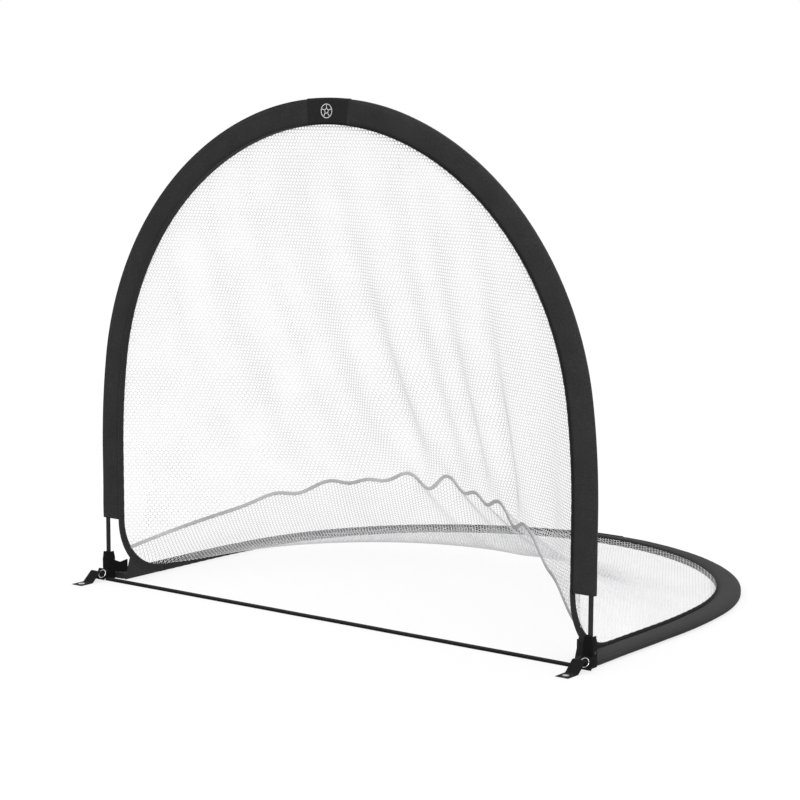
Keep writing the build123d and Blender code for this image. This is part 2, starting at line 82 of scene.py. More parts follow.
ARCH_Y = (low("front_sleeve_right").y + high("front_sleeve_right").y) / 2
HALF_SPAN = high("front_sleeve_right").x
FRONT_RISE = high("front_sleeve_right").z
GROUND_RISE = high("ground_sleeve_right").y - ARCH_Y
SLEEVE_THICKNESS = high("front_sleeve_right").y - low("front_sleeve_right").y
SLEEVE_END = low("front_sleeve_right").z
GROUND_START = low("ground_sleeve_right").y - ARCH_Y
GROUND_LEVEL = (low("ground_sleeve_right").z + high("ground_sleeve_right").z) / 2
BINDING_WIDTH = high("front_binding").y - low("front_binding").y
BINDING_INSET = HALF_SPAN - (low("corner_binding_right").x + high("corner_binding_right").x) / 2
BINDING_LEVEL = (low("ground_binding").z + high("ground_binding").z) / 2
TURN_RADIUS = high("corner_binding_right").z - BINDING_LEVEL

# Arch outline and net, as the part is designed
CROWN_RADIUS = 1.128
CROWN_ANGLE = math.radians(18.5)
SHOULDER_RADIUS = 1.240
SHOULDER_ANGLE = math.radians(82)
SLEEVE_WIDTH = 0.097
SEAM_END_HEIGHT = 0.135
SEAM_MIDDLE = Vector((0, 0.690, 0.455))
SEAM_REACH_POWER = 2.4
SEAM_RISE_POWER = 2.05
NET_DROP_POWER = 1.36
NET_FLOOR_POWER = 2.1
NET_FLOOR_START = 0.72
NET_FLOOR_END = 0.95
NET_RISE_POWER = 1.5
GUSSET_LEAN = 0.030
NET_FLOOR_HEIGHT = 0.006
NET_CORNER_POWER = 6
PATCH_HALF_LENGTH = 0.095
FULL_TURN = 2 * math.pi


class Arch:
    """A D-shaped outline in its own plane. A station runs from 0 at the crown to 4 at the foot."""

    def __init__(self, rise, stands):
        self.stands = stands
        leg = HALF_SPAN + (SHOULDER_RADIUS - CROWN_RADIUS) * math.sin(CROWN_ANGLE)
        leg_radius = (leg - SHOULDER_RADIUS * math.sin(SHOULDER_ANGLE)) / (1 - math.sin(SHOULDER_ANGLE))
        crown = np.array((0, rise - CROWN_RADIUS))
        shoulder = crown + self.toward(CROWN_ANGLE) * (CROWN_RADIUS - SHOULDER_RADIUS)
        side = shoulder + self.toward(SHOULDER_ANGLE) * (SHOULDER_RADIUS - leg_radius)
        self.arcs = [
            (crown, CROWN_RADIUS, 0, CROWN_ANGLE),
            (shoulder, SHOULDER_RADIUS, CROWN_ANGLE, SHOULDER_ANGLE),
            (side, leg_radius, SHOULDER_ANGLE, math.pi / 2),
        ]
        self.leg_top = side[1]

    @staticmethod
    def toward(turn):
        return np.array((math.sin(turn), math.cos(turn)))

    def at(self, length, inset):
        """The point that far along the inset outline from the crown, and the direction out of the arch."""
        for centre, radius, start, end in self.arcs:
            arc = (end - start) * (radius - inset)
            if length <= arc:
                out = self.toward(start + length / (radius - inset))
                return centre + out * (radius - inset), out
            length -= arc
        return np.array((HALF_SPAN - inset, self.leg_top - length)), np.array((1.0, 0.0))

    def length(self, height, inset):
        """How far the straight leg's point at this height is from the crown."""
        arcs = sum((end - start) * (radius - inset) for _, radius, start, end in self.arcs)
        return arcs + self.leg_top - height

    def place(self, flat, across):
        """A point of the arch's plane, moved across it: towards -Y on the front arch, up on the other."""
        if self.stands:
            return Vector((flat[0], ARCH_Y - across, flat[1]))
        return Vector((flat[0], ARCH_Y + flat[1], GROUND_LEVEL + across))


FRONT = Arch(FRONT_RISE, True)
GROUND = Arch(GROUND_RISE, False)
SIDES = {"left": -1, "right": 1}

# ---------------------------------------------------------------- materials


def material(name, colour, roughness, sheen=0.0, metallic=0.0, specular=0.5):
    """A new material: its shader node and a helper that adds linked nodes."""
    made = bpy.data.materials.new(name)
    made.use_nodes = True
    shader = made.node_tree.nodes["Principled BSDF"]
    shader.inputs["Base Color"].default_value = (*colour, 1)
    shader.inputs["Roughness"].default_value = roughness
    shader.inputs["Metallic"].default_value = metallic
    shader.inputs["Sheen Weight"].default_value = sheen
    shader.inputs["Specular IOR Level"].default_value = specular
    return made, shader


def node(made, kind, inputs=None, **settings):
    """Adds a node. An input is a value, or another node's output socket."""
    new = made.node_tree.nodes.new(kind)
    for key, value in settings.items():
        setattr(new, key, value)
    for key, value in (inputs or {}).items():
        socket = new.inputs[key]
        if isinstance(value, bpy.types.NodeSocket):
            made.node_tree.links.new(value, socket)
        else:
            socket.default_value = value
    return new


def maths(made, operation, first, second=0.0):
    return node(made, "ShaderNodeMath", {0: first, 1: second}, operation=operation).outputs[0]


def ramp(made, factor, stops):
    """A colour ramp through (place, brightness or colour) stops."""
    new = node(made, "ShaderNodeValToRGB", {"Fac": factor})
    elements = new.color_ramp.elements
    for index, (place, colour) in enumerate(stops):
        element = elements[index] if index < 2 else elements.new(place)
        element.position = place
        element.color = (*colour, 1) if isinstance(colour, tuple) else (colour, colour, colour, 1)
    return new.outputs["Color"]


def mix(made, factor, first, second, blend="MIX"):
    new = node(made, "ShaderNodeMix", data_type="RGBA", blend_type=blend)
    for socket, value in ((new.inputs[0], factor), (new.inputs[6], first), (new.inputs[7], second)):
        if isinstance(value, bpy.types.NodeSocket):
            made.node_tree.links.new(value, socket)
        else:
            socket.default_value = value if isinstance(value, float) else (*value, 1)
    return new.outputs[2]


def link(made, output, socket):
    made.node_tree.links.new(output, socket)


def weave_height(made, along, across, pitch):
    """Over-and-under threads: two sets of ridges, each hiding the other in turn."""
    turns = FULL_TURN / pitch
    warp = maths(made, "SINE", maths(made, "MULTIPLY", along, turns))
    weft = maths(made, "SINE", maths(made, "MULTIPLY", across, turns))
    product = maths(made, "MULTIPLY", warp, weft)
    return maths(made, "MULTIPLY_ADD", product, 0.5)


def woven(name, dark, light, roughness, pitch, from_map, stitches=(), bump=0.25, specular=0.16):
    """Woven cloth: threads, flecks of lighter yarn, wear blotches and, along mapped strips, rows of stitches.
    Mapped cloth carries its length and width in metres in its UV map."""
    made, shader = material(name, dark, roughness, 0.02, specular=specular)
    coordinates = node(made, "ShaderNodeTexCoord")
    place = coordinates.outputs["UV"] if from_map else coordinates.outputs["Object"]
    parts = node(made, "ShaderNodeSeparateXYZ", {0: place})
    first, second = (0, 1) if from_map else (0, 2)
    along, across = parts.outputs[first], parts.outputs[second]
    threads = weave_height(made, along, across, pitch)
    here = coordinates.outputs["Object"]
    fleck = node(made, "ShaderNodeTexNoise", {"Vector": here, "Scale": 420.0, "Detail": 3.0}).outputs[0]
    patchy = node(made, "ShaderNodeTexNoise", {"Vector": here, "Scale": 9.0, "Detail": 5.0}).outputs[0]
    yarn = ramp(made, fleck, ((0.38, 0.0), (0.66, 1.0)))
    base = mix(made, yarn, dark, light)
    worn = ramp(made, patchy, ((0.3, 0.78), (0.72, 1.16)))
    base = mix(made, 1.0, base, worn, "MULTIPLY")
    height = maths(made, "ADD", threads, maths(made, "MULTIPLY", fleck, 0.6))
    for row, width in stitches:
        beat = maths(made, "SINE", maths(made, "MULTIPLY", along, FULL_TURN / 0.006))
        dash = maths(made, "GREATER_THAN", beat, -0.3)
        near = maths(made, "LESS_THAN", maths(made, "ABSOLUTE", maths(made, "SUBTRACT", across, row)), width)
        stitch = maths(made, "MULTIPLY", dash, near)
        thread_colour = tuple(min(1.0, channel * 2.2 + 0.01) for channel in light)
        base = mix(made, stitch, base, thread_colour)
        height = maths(made, "ADD", height, maths(made, "MULTIPLY", stitch, 1.5))
    link(made, base, shader.inputs["Base Color"])
    rough = maths(made, "MULTIPLY_ADD", patchy, 0.2)
    rough.node.inputs[2].default_value = roughness - 0.1
    link(made, rough, shader.inputs["Roughness"])
    raised = node(made, "ShaderNodeBump", {"Height": height, "Strength": bump, "Distance": 0.0006})
    link(made, raised.outputs[0], shader.inputs["Normal"])
    return made


def net_material():
    """Soft white polyester string, with a fine twist and slightly greyed blotches."""
    made, shader = material("net_string", (0.5, 0.5, 0.51), 0.8, specular=0.1)
    here = node(made, "ShaderNodeTexCoord").outputs["Object"]
    soil = node(made, "ShaderNodeTexNoise", {"Vector": here, "Scale": 5.0, "Detail": 4.0}).outputs[0]
    twist = node(made, "ShaderNodeTexWave", {"Vector": here, "Scale": 300.0, "Distortion": 4.0}).outputs[1]
    tint = ramp(made, soil, ((0.3, (0.52, 0.52, 0.53)), (0.7, (0.60, 0.60, 0.61))))
    link(made, tint, shader.inputs["Base Color"])
    rough = ramp(made, soil, ((0.3, 0.7), (0.7, 0.82)))
    link(made, rough, shader.inputs["Roughness"])
    raised = node(made, "ShaderNodeBump", {"Height": twist, "Strength": 0.3, "Distance": 0.0004})
    link(made, raised.outputs[0], shader.inputs["Normal"])
    return made


def smooth_material(name, colour, roughness, metallic=0.0, scratch=0.12, specular=0.5):
    """Plastic, glass fibre or steel, with faint scratches and handling marks."""
    made, shader = material(name, colour, roughness, 0.0, metallic, specular)
    here = node(made, "ShaderNodeTexCoord").outputs["Object"]
    streaks = node(made, "ShaderNodeMapping", {"Vector": here, "Scale": (900.0, 900.0, 60.0)}).outputs[0]
    grain = node(made, "ShaderNodeTexNoise", {"Vector": streaks, "Scale": 1.0, "Detail": 4.0}).outputs[0]
    smudge = node(made, "ShaderNodeTexNoise", {"Vector": here, "Scale": 60.0, "Detail": 4.0}).outputs[0]
    shades = tuple(tuple(min(1.0, channel * level) for channel in colour) for level in (0.8, 1.2))
    link(made, ramp(made, smudge, ((0.3, shades[0]), (0.7, shades[1]))), shader.inputs["Base Color"])
    rough = ramp(made, grain, ((0.3, roughness - 0.08), (0.7, roughness + 0.1)))
    link(made, rough, shader.inputs["Roughness"])
    raised = node(made, "ShaderNodeBump", {"Height": grain, "Strength": scratch, "Distance": 0.0003})
    link(made, raised.outputs[0], shader.inputs["Normal"])
    return made


SLEEVE_CLOTH = woven("sleeve_cloth", (0.007, 0.007, 0.0075), (0.024, 0.024, 0.025), 0.85, 0.0016, True)
CORNER_CLOTH = woven("corner_cloth", (0.009, 0.009, 0.0095), (0.024, 0.024, 0.025), 0.85, 0.0016, False)
BINDING_ROWS = ((0.004, 0.0005), (BINDING_WIDTH - 0.004, 0.0005))
BINDING_WEB = woven(
    "binding_web", (0.006, 0.006, 0.0065), (0.017, 0.017, 0.018), 0.8, 0.0022, True, BINDING_ROWS
)
STRAP_WEB = woven(
    "strap_web", (0.002, 0.002, 0.0022), (0.007, 0.007, 0.0073), 0.8, 0.0022, False, bump=0.5, specular=0.08
)
BOOT_WEB = woven(
    "boot_web", (0.001, 0.001, 0.0011), (0.005, 0.005, 0.0053), 0.8, 0.0026, False, bump=0.5, specular=0.06
)
PATCH_CLOTH = woven(
    "patch_cloth", (0.003, 0.003, 0.0032), (0.008, 0.008, 0.0085), 0.7, 0.0010, False, bump=0.1
)
EMBLEM_PRINT = woven("emblem_print", (0.42, 0.42, 0.43), (0.55, 0.55, 0.56), 0.6, 0.0010, False, bump=0.1)
TAPE_WEB = woven("tape_web", (0.27, 0.27, 0.28), (0.37, 0.37, 0.38), 0.8, 0.0014, False)
NET_STRING = net_material()
FIBREGLASS = smooth_material("fibreglass", (0.006, 0.006, 0.0065), 0.45, specular=0.2)
MOULDED = smooth_material("moulded_plastic", (0.008, 0.008, 0.0085), 0.5, specular=0.25)
STEEL = smooth_material("plated_steel", (0.62, 0.62, 0.64), 0.28, 1.0)

# ---------------------------------------------------------------- mesh helpers


def mesh_object(name, points, faces, cloth, smooth=True):
    """A mesh object from arrays of points and of equal-sided faces."""
    points = np.asarray(points, np.float32)
    faces = np.asarray(faces, np.int32)
    data = bpy.data.meshes.new(name)
    data.vertices.add(len(points))
    data.vertices.foreach_set("co", points.ravel())
    data.loops.add(faces.size)
    data.loops.foreach_set("vertex_index", faces.ravel())
    data.polygons.add(len(faces))
    data.polygons.foreach_set("loop_start", np.arange(0, faces.size, faces.shape[1], dtype=np.int32))
    data.update(calc_edges=True)
    data.polygons.foreach_set("use_smooth", np.full(len(faces), smooth))
    data.materials.append(cloth)
    made = bpy.data.objects.new(name, data)
    bpy.context.scene.collection.objects.link(made)
    return made


def tube_faces(rings, sides, closed):
    """Quads between rings of points. A closed tube gets no end faces here."""
    faces = []
    around = sides if closed else sides - 1
    for ring in range(rings - 1):
        for side in range(around):
            after = (side + 1) % sides
            here, there = ring * sides, (ring + 1) * sides
            faces.append((here + side, here + after, there + after, there + side))
    return faces


def map_lengths(made, lengths, widths):
    """Gives each corner its point's length and width in metres as its UV."""
    data = made.data
    layer = data.uv_layers.new(name="UVMap")
    index = np.zeros(len(data.loops), np.int32)
    data.loops.foreach_get("vertex_index", index)
    pairs = np.stack([np.asarray(lengths)[index], np.asarray(widths)[index]], axis=1)
    layer.data.foreach_set("uv", pairs.astype(np.float32).ravel())


def apply_modifiers(made):
    """Turns the modified shape into the object's own mesh."""
    bpy.context.view_layer.update()
    graph = bpy.context.evaluated_depsgraph_get()
    data = bpy.data.meshes.new_from_object(made.evaluated_get(graph))
    made.modifiers.clear()
    made.data = data


def soft_copy(name, source, cloth, voxel, relax, ripple=0.0):
    """A CAD part's shape as sewn webbing: remeshed, its edges rounded off and its faces slightly uneven."""
    data = frame["nodes"][source].data.copy()
    data.materials.clear()
    data.materials.append(cloth)
    made = bpy.data.objects.new(name, data)
    bpy.context.scene.collection.objects.link(made)
    remesh = made.modifiers.new("remesh", "REMESH")
    remesh.mode = "VOXEL"
    remesh.voxel_size = voxel
    smooth = made.modifiers.new("smooth", "SMOOTH")
    smooth.iterations = relax
    smooth.factor = 0.5
    apply_modifiers(made)
    for vertex in made.data.vertices:
        bump = noise.noise(vertex.co * 60) * ripple
        vertex.co += vertex.normal * bump
    for polygon in made.data.polygons:
        polygon.use_smooth = True
    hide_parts(source)
    return made


def follow_fold(made):
    """Bakes a piece's placement into its mesh and reads out its points. It does not bend the piece."""
    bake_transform(made)
    points = np.zeros(len(made.data.vertices) * 3)
    made.data.vertices.foreach_get("co", points)
    points = points.reshape(-1, 3)


# ---------------------------------------------------------------- padded sleeves


SECTION_SIDES = 40
SEAM_SIDES = (0, 1, 19, 20, 21, 39)
SLEEVE_STEP = 0.012
FLOOR_REST = 0.0005
SWELL_PRESSURE = 4.0
SWELL_CAP = 0.0035
SWELL_STEPS = 12
CLOTH_STIFFNESS = 8


def sleeve_section():
    """The padding's section: crowned faces and tight corners, from the outer edge round the front face.
    Each point is (out of the arch, across the arch, width along the cloth)."""
    corners = []
    half_width = SLEEVE_WIDTH / 2
    half_thick = SLEEVE_THICKNESS / 2 - 0.0012
    perimeter = 2 * (SLEEVE_WIDTH + SLEEVE_THICKNESS)
    for index in range(SECTION_SIDES):
        turn = FULL_TURN * index / SECTION_SIDES
        power = 0.30
        out = math.copysign(abs(math.cos(turn)) ** power, math.cos(turn)) * half_width
        across = math.copysign(abs(math.sin(turn)) ** power, math.sin(turn)) * half_thick
        crown = 1 + 0.09 * (1 - (out / half_width) ** 2)
        corners.append((out, across * crown, perimeter * index / SECTION_SIDES))
    return corners


def sleeve(name, arch, side, foot_height):
    """Half of an arch's padded sleeve, with gathered cloth between its seams and a closed end."""
    section = sleeve_section()
    inset = SLEEVE_WIDTH / 2
    total = arch.length(foot_height, inset)
    rings = int(total / SLEEVE_STEP)
    points, lengths, widths = [], [], []
    for ring in range(rings + 1):
        length = total * ring / rings
        centre, out = arch.at(length, inset)
        hem = math.exp(-((total - length) / 0.02) ** 2)
        for offset, across, width in section:
            lump = noise.noise(Vector((length * 9 * side, width * 12, arch.stands * 7.0)))
            pucker = noise.noise(Vector((length * 55 * side, width * 7, arch.stands * 3.0 + 5)))
            near_seam = max(abs(offset) / inset - 0.55, 0) * 2
            push = 1 + (0.05 * lump + 0.05 * pucker * near_seam)
            flat = centre + out * offset
            point = arch.place(flat, across * push * (1 - 0.10 * hem))
            points.append((point.x * side, point.y, point.z))
            lengths.append(length * side)
            widths.append(width)
    faces = tube_faces(rings + 1, SECTION_SIDES, True)
    for inner in (0.93, 0.6, 0.12):
        start = len(points) - SECTION_SIDES
        last = points[start:]
        middle = np.mean(last, axis=0)
        scale = inner if inner == 0.93 else inner / 0.9
        points.extend(middle + (np.array(point) - middle) * scale for point in last)
        lengths.extend(lengths[start:])
        widths.extend(widths[start:])
        for index in range(SECTION_SIDES):
            after = (index + 1) % SECTION_SIDES
            further = start + SECTION_SIDES
            faces.append((start + index, start + after, further + after, further + index))
    made = mesh_object(name, points, faces, SLEEVE_CLOTH)
    map_lengths(made, lengths, widths)
    seams = made.vertex_groups.new(name="seams")
    held = [index for index, length in enumerate(lengths) if abs(length) < PATCH_HALF_LENGTH + 0.015]
    held += [index for index in range(len(points)) if index % SECTION_SIDES in SEAM_SIDES]
    held += range(len(points) - 6 * SECTION_SIDES, len(points))
    seams.add(held, 1.0, "REPLACE")
    return made


def inflate(pieces):
    """Air pressure swells the cloth between its held seams. No point moves further than the cap,
    or into the floor."""
    before = {}
    for piece in pieces:
        before[piece.name] = [vertex.co.copy() for vertex in piece.data.vertices]
        cloth = piece.modifiers.new("cloth", "CLOTH")
        cloth.settings.vertex_group_mass = "seams"
        cloth.settings.use_pressure = True
        cloth.settings.uniform_pressure_force = SWELL_PRESSURE
        cloth.settings.effector_weights.gravity = 0
        cloth.settings.quality = 3
        cloth.settings.tension_stiffness = CLOTH_STIFFNESS
        cloth.settings.compression_stiffness = CLOTH_STIFFNESS
        cloth.point_cache.frame_end = SWELL_STEPS
    for moment in range(1, SWELL_STEPS + 1):
        bpy.context.scene.frame_set(moment)
    for piece in pieces:
        apply_modifiers(piece)
        piece.vertex_groups.clear()
        for vertex, start in zip(piece.data.vertices, before[piece.name]):
            move = vertex.co - start
            if move.length > SWELL_CAP:
                vertex.co = start + move.normalized() * SWELL_CAP
            vertex.co.z = max(vertex.co.z, FLOOR_REST)
    bpy.context.scene.frame_set(1)


def sleeves():
    """The padded halves of both arches, swollen together."""
    made = []
    for side_name, side in SIDES.items():
        for arch, foot_height, word in ((FRONT, SLEEVE_END, "front"), (GROUND, GROUND_START, "ground")):
            piece = sleeve(f"{word}_sleeve_cloth_{side_name}", arch, side, foot_height)
            made.append((piece, word, side_name))
    inflate([piece for piece, _, _ in made])
    for piece, word, side_name in made:
        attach(piece, f"{word}_frame")
        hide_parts(f"{word}_sleeve_{side_name}")


# ---------------------------------------------------------------- flat webbing


def ribbon(name, middles, across, sideways, thickness, cloth):
    """A flat strap: its middle points, its width vector and its thickness direction at each point.
    Its width runs in five strips, so that its edges can be a little thinner than its middle."""
    shares = (-0.5, -0.46, -0.2, 0.2, 0.46, 0.5)
    swell = (0.35, 1.0, 1.0, 1.0, 1.0, 0.35)
    points, lengths, widths = [], [], []
    length = 0.0
    for index, (middle, width, out) in enumerate(zip(middles, across, sideways)):
        if index:
            length += (middle - middles[index - 1]).length
        for sign in (1, -1):
            order = zip(shares, swell) if sign > 0 else zip(reversed(shares), reversed(swell))
            for share, thick in order:
                points.append(middle + width * share + out * (sign * thickness / 2 * thick))
                lengths.append(length)
                widths.append((share + 0.5) * width.length)
    sides = 2 * len(shares)
    faces = tube_faces(len(middles), sides, True)
    made = mesh_object(name, points, faces, cloth)
    close_ends(made, sides, len(middles))
    map_lengths(made, lengths, widths)
    return made


def close_ends(made, sides, rings):
    """Adds the two end faces of a tube."""
    shape = bmesh.new()
    shape.from_mesh(made.data)
    shape.verts.ensure_lookup_table()
    shape.faces.new([shape.verts[index] for index in range(sides)][::-1])
    start = (rings - 1) * sides
    shape.faces.new([shape.verts[start + index] for index in range(sides)])
    shape.to_mesh(made.data)
    shape.free()


def arch_binding(name, arch, foot_height, level, body, source):
    """The webbing along a sleeve's inner edge, over both halves of the arch."""
    total = arch.length(foot_height, BINDING_INSET)
    count = 220
    middles, across, outs = [], [], []
    for index in range(-count, count + 1):
        flat, out = arch.at(abs(index) / count * total, BINDING_INSET)
        side = 1 if index >= 0 else -1
        wave = 0.0006 * math.sin(index * 1.3)
        here = arch.place(flat, level + wave)
        far = arch.place(flat, level + wave + BINDING_WIDTH)
        outward = arch.place(flat + out, level + wave)
        mirror = Vector((side, 1, 1))
        middles.append(here * mirror)
        across.append((far - here) * mirror)
        outs.append((outward - here) * mirror)
    made = ribbon(name, middles, across, outs, 0.0025, BINDING_WEB)
    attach(made, body)
    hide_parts(source)
    return made


def corner_binding(side_name, side):
    """The webbing's quarter turn below the front sleeve, carried by the ground arch's body."""
    x = (HALF_SPAN - BINDING_INSET) * side
    steps = 40
    middles, across, outs = [], [], []
    for index in range(steps + 1):
        turn = math.pi / 2 * index / steps
        out = Vector((0, -math.cos(turn), -math.sin(turn)))
        centre = Vector((x, ARCH_Y + TURN_RADIUS, BINDING_LEVEL + TURN_RADIUS))
        middles.append(centre + out * TURN_RADIUS)
        across.append(out * BINDING_WIDTH)
        outs.append(Vector((1, 0, 0)))
    made = ribbon(f"corner_binding_web_{side_name}", middles, across, outs, 0.0025, BINDING_WEB)
    follow_fold(made)
    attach(made, "ground_frame")
    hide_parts(f"corner_binding_{side_name}")


# ---------------------------------------------------------------- net


STRING_WIDTH = 0.0036
STRING_THICKNESS = 0.0009
NET_PITCH = 0.0145
TAPE_WIDTH = 0.015
TAPE_THICKNESS = 0.005
NET_COLUMNS = 150
NET_ROWS = 60
EDGE_INSET = 0.098
FOLD_FADE = 1.2
SEAM_SWAY = 0.1
FOLD_DEPTH = 2.0
LOW_STRING_SHARE = 0.35
LOW_STRING_REACH = 0.10
EDGE_BACK = BINDING_WIDTH / 2 - 0.002
GROUND_EDGE_LEVEL = 2 * GROUND_LEVEL + 0.001
# Folds where they cross the seam: (place from -1 left to 1 right, lift of the seam, half width)
FOLDS = (
    (-0.395, 0.020, 0.055),
    (-0.345, -0.014, 0.035),
    (-0.265, 0.022, 0.045),
    (-0.225, -0.012, 0.030),
    (-0.165, 0.010, 0.035),
    (-0.140, -0.014, 0.035),
    (-0.070, 0.026, 0.040),
    (-0.020, -0.044, 0.032),
    (0.040, 0.030, 0.034),
    (0.090, -0.030, 0.030),
    (0.130, 0.003, 0.028),
    (0.170, -0.038, 0.030),
    (0.225, 0.009, 0.034),
    (0.285, -0.052, 0.036),
    (0.360, 0.007, 0.040),
    (0.480, -0.034, 0.070),
    (0.700, -0.036, 0.200),
)


def turn_point(turn, radius):
    """A point on the corner binding's quarter turn."""
    level = BINDING_LEVEL + TURN_RADIUS
    x = HALF_SPAN - EDGE_INSET
    return Vector((x, ARCH_Y + TURN_RADIUS - radius * math.cos(turn), level - radius * math.sin(turn)))


EDGE_TURN = TURN_RADIUS - EDGE_BACK
SEAM_TURN = math.asin((BINDING_LEVEL + TURN_RADIUS - SEAM_END_HEIGHT) / EDGE_TURN)


def net_edge(arch, share, foot_height, turn_from):
    """The net's edge at a share of the way from an arch's crown to the seam's end."""
    straight = arch.length(foot_height, EDGE_INSET)
    turned = abs(SEAM_TURN - turn_from) * EDGE_TURN
    along = share * (straight + turned)
    if along > straight:
        return turn_point(turn_from + (SEAM_TURN - turn_from) * (along - straight) / turned, EDGE_TURN)
    flat, _ = arch.at(along, EDGE_INSET)
    if arch.stands:
        return arch.place(flat, -EDGE_BACK)
    return arch.place(flat, GROUND_EDGE_LEVEL - GROUND_LEVEL)


def wave(share):
    """How far the folds lift the seam at this place."""
    return sum(lift * math.exp(-(((share - place) / width) ** 2)) for place, lift, width in FOLDS)


def seam_point(share, folded=True):
    """The seam between the two panels, from -1 at the left corner to 1 at the right."""
    end = turn_point(SEAM_TURN, EDGE_TURN)
    size = abs(share)
    inward = max(0.0, math.cos(math.pi / 2 * size))
    x = math.copysign(end.x * math.sin(math.pi / 2 * size), share)
    y = end.y + (ARCH_Y + SEAM_MIDDLE.y - end.y) * inward**SEAM_REACH_POWER
    z = end.z + (SEAM_MIDDLE.z - end.z) * inward**SEAM_RISE_POWER
    lift = wave(share) if folded else 0.0
    return Vector((x, y - SEAM_SWAY * lift, z + lift))


def upper_point(share, drop):
    """The upper panel hangs like a chain, with folds that grow towards the seam."""
    top = net_edge(FRONT, abs(share), SLEEVE_END, 0.0)
    top.x = math.copysign(top.x, share)
    seam = seam_point(share, False)
    out = drop**NET_DROP_POWER
    across, back = top.x + (seam.x - top.x) * out, top.y + (seam.y - top.y) * out
    flat = Vector((across, back, top.z + (seam.z - top.z) * drop))
    lift = wave(share)
    depth = FOLD_DEPTH * drop**FOLD_FADE * (1 - drop**8) + SEAM_SWAY * drop**8
    return flat + Vector((0, -depth * lift, lift * drop**4))


def lower_point(share, run):
    """The lower panel sinks to the floor, lies there for a way and rises to the ground binding."""
    edge = net_edge(GROUND, abs(share), TURN_RADIUS, math.pi / 2)
    edge.x = math.copysign(edge.x, share)
    seam = seam_point(share, False)
    size = abs(share)
    lands = NET_FLOOR_START + (1 - NET_FLOOR_START) * math.sin(math.pi / 2 * size)
    sunk = max(0.0, 1 - run / lands) ** NET_FLOOR_POWER
    risen = max(0.0, (run - NET_FLOOR_END) / (1 - NET_FLOOR_END)) ** NET_RISE_POWER
    taut = seam + (edge - seam) * run
    slack = NET_FLOOR_HEIGHT + (seam.z - NET_FLOOR_HEIGHT) * sunk + (edge.z - NET_FLOOR_HEIGHT) * risen
    lift = wave(share) * max(0.0, 1 - run / lands) ** 1.6
    z = slack + (taut.z - slack) * size**NET_CORNER_POWER
    return Vector((taut.x, taut.y - SEAM_SWAY * lift, max(z + lift * (1 - run) ** 3, NET_FLOOR_HEIGHT)))


def panel_surface(point_of):
    """A fine surface of one panel, as points and faces, from which a tree for finding points on it is built.
    """
    points, faces = [], []
    for row in range(NET_ROWS + 1):
        for column in range(-NET_COLUMNS, NET_COLUMNS + 1):
            points.append(point_of(column / NET_COLUMNS * 0.9999, row / NET_ROWS))
    wide = 2 * NET_COLUMNS + 1
    for row in range(NET_ROWS):
        for column in range(wide - 1):
            first = row * wide + column
            faces.append((first, first + 1, first + wide + 1, first + wide))
    return points, faces


def honeycomb(low_corner, high_corner, pitch):
    """The strings of a honeycomb over a rectangle, as pairs of plane points."""
    side = pitch / math.sqrt(3)
    columns = int((high_corner[0] - low_corner[0]) / pitch) + 2
    rows = int((high_corner[1] - low_corner[1]) / (1.5 * side)) + 2
    across, up = np.meshgrid(np.arange(columns), np.arange(rows))
    centre_x = low_corner[0] + (across + 0.5 * (up % 2)) * pitch
    centre_y = low_corner[1] + up * 1.5 * side
    centre = np.stack([centre_x.ravel(), centre_y.ravel()], axis=1)
    half = pitch / 2
    corners = [np.array(c) for c in ((half, -side / 2), (half, side / 2), (0, side), (-half, side / 2))]
    starts = np.concatenate([centre + corners[0], centre + corners[1], centre + corners[2]])
    ends = np.concatenate([centre + corners[1], centre + corners[2], centre + corners[3]])
    return starts, ends


def cast(tree, flat, direction):
    """Where the panel lies behind, or below, each plane point: positions, normals and whether it is there."""
    found = np.zeros((len(flat), 3))
    normals = np.zeros((len(flat), 3))
    there = np.zeros(len(flat), bool)
    backwards = direction.y > 0
    for index, (first, second) in enumerate(flat):
        origin = Vector((first, -1.0, second)) if backwards else Vector((first, second, 3.0))
        hit, normal, _, _ = tree.ray_cast(origin, direction)
        if hit is not None:
            found[index] = hit
            normals[index] = normal
            there[index] = True
    return found, normals, there


def string_mesh(name, starts, ends, normals, facing, slim):
    """Strings as flat braids between pairs of points, their broad side towards the facing direction.
    Each has three faces, and slim is its share of the full width."""
    along = ends - starts
    along /= np.maximum(np.linalg.norm(along, axis=1, keepdims=True), 1e-9)
    normals = normals * np.where(normals @ facing > 0, 1, -1)[:, None]
    beside = np.cross(along, normals)
    beside /= np.maximum(np.linalg.norm(beside, axis=1, keepdims=True), 1e-9)
    upward = np.cross(beside, along)
    width = STRING_WIDTH * slim[:, None]
    rings = []
    for point in (starts - along * width * 0.3, ends + along * width * 0.3):
        rings.append(point - beside * width / 2)
        rings.append(point + beside * width / 2)
        rings.append(point - upward * STRING_THICKNESS)
    points = np.stack(rings, axis=1).reshape(-1, 3)
    first = np.arange(len(starts))[:, None] * 6
    quads = [first + np.array(quad) for quad in ((0, 1, 4, 3), (1, 2, 5, 4), (2, 0, 3, 5))]
    made = mesh_object(name, points, np.concatenate(quads), NET_STRING, smooth=False)
    follow_fold(made)
    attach(made, "ground_frame")
    return made


def cut_of_half(point_of):
    """The size a half panel was cut to, and its strings' share of it, from the panel's shape alone."""
    points, faces = panel_surface(point_of)
    corners = np.array(points)[np.array(faces)]
    crossed = np.cross(corners[:, 2] - corners[:, 0], corners[:, 3] - corners[:, 1])
    whole = float(np.linalg.norm(crossed, axis=1).sum()) / 2
    line = np.array([point_of(0.0, row / NET_ROWS) for row in range(NET_ROWS + 1)])
    length = float(np.linalg.norm(np.diff(line, axis=0), axis=1).sum())
    strings = 2 * STRING_WIDTH / NET_PITCH
    return (HALF_SPAN - EDGE_INSET, length), whole / 2 * strings


